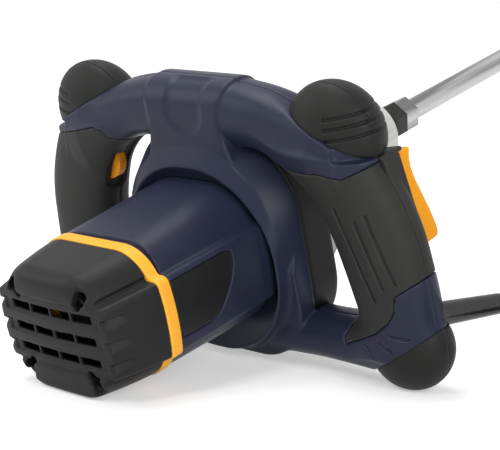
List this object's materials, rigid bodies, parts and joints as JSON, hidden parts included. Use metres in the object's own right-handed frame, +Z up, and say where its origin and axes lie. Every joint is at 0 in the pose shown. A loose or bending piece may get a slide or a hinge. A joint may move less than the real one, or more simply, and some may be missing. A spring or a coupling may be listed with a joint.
{
  "type": "mixing drill",
  "caption": "Electric mixing drill with a ring handle, soft grips and corner bumpers, motor housing, reduction gear case, spindle with mixing rod, trigger, speed wheel and mains cord.",
  "frame": {"origin": "on the floor, under the middle of the tool's length, with the tool resting on its tail edge and lower bumpers", "axes": "+Y towards the mixing rod, +X to the operator's right, +Z up"},
  "size_m": [0.5573, 0.512, 0.2029],
  "materials": {
    "navy_shell": "fine matte grain, dark navy",
    "black_plastic": "matte black",
    "orange_plastic": "satin orange",
    "soft_grip": "soft matte black",
    "bumper": "matte black rubber",
    "trigger_plastic": "satin orange",
    "cast_case": "bare die casting",
    "steel": "ground and oiled",
    "plated_steel": "zinc plated",
    "screw_steel": "black oxide",
    "bearing_steel": "ground",
    "lamination": "stacked sheet",
    "copper": "enamelled copper",
    "carbon": "pressed carbon",
    "inner_plastic": "moulded",
    "seal_rubber": "nitrile",
    "spring_steel": "wire",
    "cord_rubber": "smooth black rubber"
  },
  "bodies": {
    "frame_body": {"handle_shell_rear": "navy_shell", "handle_shell_front": "navy_shell", "motor_housing": "navy_shell", "rear_cap": "black_plastic", "drum_cover": "black_plastic", "side_panel_left": "black_plastic", "side_panel_right": "black_plastic", "trim_band": "orange_plastic", "left_grip_rear": "soft_grip", "left_grip_front": "soft_grip", "right_grip_rear": "soft_grip", "right_grip_front": "soft_grip", "upper_left_bumper_rear": "bumper", "upper_left_bumper_front": "bumper", "upper_right_bumper_rear": "bumper", "upper_right_bumper_front": "bumper", "lower_left_bumper_rear": "bumper", "lower_left_bumper_front": "bumper", "lower_right_bumper_rear": "bumper", "lower_right_bumper_front": "bumper", "gear_case": "cast_case", "bearing_plate": "cast_case", "plug_pins": "plated_steel", "rear_cap_screws": "screw_steel", "handle_screws": "screw_steel", "gear_case_screws": "screw_steel", "terminal_screws": "screw_steel", "rear_bearing": "bearing_steel", "front_motor_bearing": "bearing_steel", "layshaft_rear_bearing": "bearing_steel", "layshaft_front_bearing": "bearing_steel", "spindle_rear_bearing": "bearing_steel", "spindle_front_bearing": "bearing_steel", "stator_core": "lamination", "field_coils": "copper", "carbon_brushes": "carbon", "brush_bracket": "inner_plastic", "brush_holders": "inner_plastic", "switch_body": "inner_plastic", "speed_control": "inner_plastic", "terminal_block": "inner_plastic", "spindle_seal": "seal_rubber", "trigger_spring": "spring_steel", "cord_boot": "cord_rubber", "power_cord": "cord_rubber", "cord_coil": "cord_rubber", "plug_body": "cord_rubber", "coil_tie": "cord_rubber"},
    "armature": {"armature_shaft": "steel", "armature_core": "lamination", "armature_windings": "copper", "commutator": "copper", "fan": "black_plastic"},
    "layshaft_set": {"layshaft": "steel", "layshaft_gear": "steel"},
    "spindle_set": {"spindle": "steel", "spindle_gear": "steel", "mixing_rod": "plated_steel"},
    "trigger_body": {"trigger": "trigger_plastic"},
    "speed_wheel_body": {"speed_wheel": "orange_plastic"}
  },
  "joints": [
    {"name": "armature_spin", "type": "hinge", "parent": "frame_body", "child": "armature", "pos_m": [0, -0.10066, 0.0766], "axis": [0, 0.9625, 0.2714], "continuous": true},
    {"name": "layshaft_spin", "type": "hinge", "parent": "frame_body", "child": "layshaft_set", "pos_m": [0, -0.065, 0.06068], "axis": [0, 0.9625, 0.2714], "continuous": true},
    {"name": "spindle_spin", "type": "hinge", "parent": "frame_body", "child": "spindle_set", "pos_m": [0, -0.00821, 0.11722], "axis": [0, 0.9625, 0.2714], "continuous": true},
    {"name": "trigger_squeeze", "type": "slide", "parent": "frame_body", "child": "trigger_body", "axis": [0, -0.9625, -0.2714], "range_m": [0, 0.007], "stiffness_N_per_m": 500, "springref_m": -0.008, "deforming": ["trigger_spring"]},
    {"name": "speed_wheel_turn", "type": "hinge", "parent": "frame_body", "child": "speed_wheel_body", "pos_m": [-0.095, -0.11246, 0.11846], "axis": [0, 0.9625, 0.2714], "range_deg": [0, 270]}
  ],
  "couplings": [
    {"joint": "layshaft_spin", "follows": "armature_spin", "ratio": -0.29032},
    {"joint": "spindle_spin", "follows": "armature_spin", "ratio": 0.060765}
  ]
}
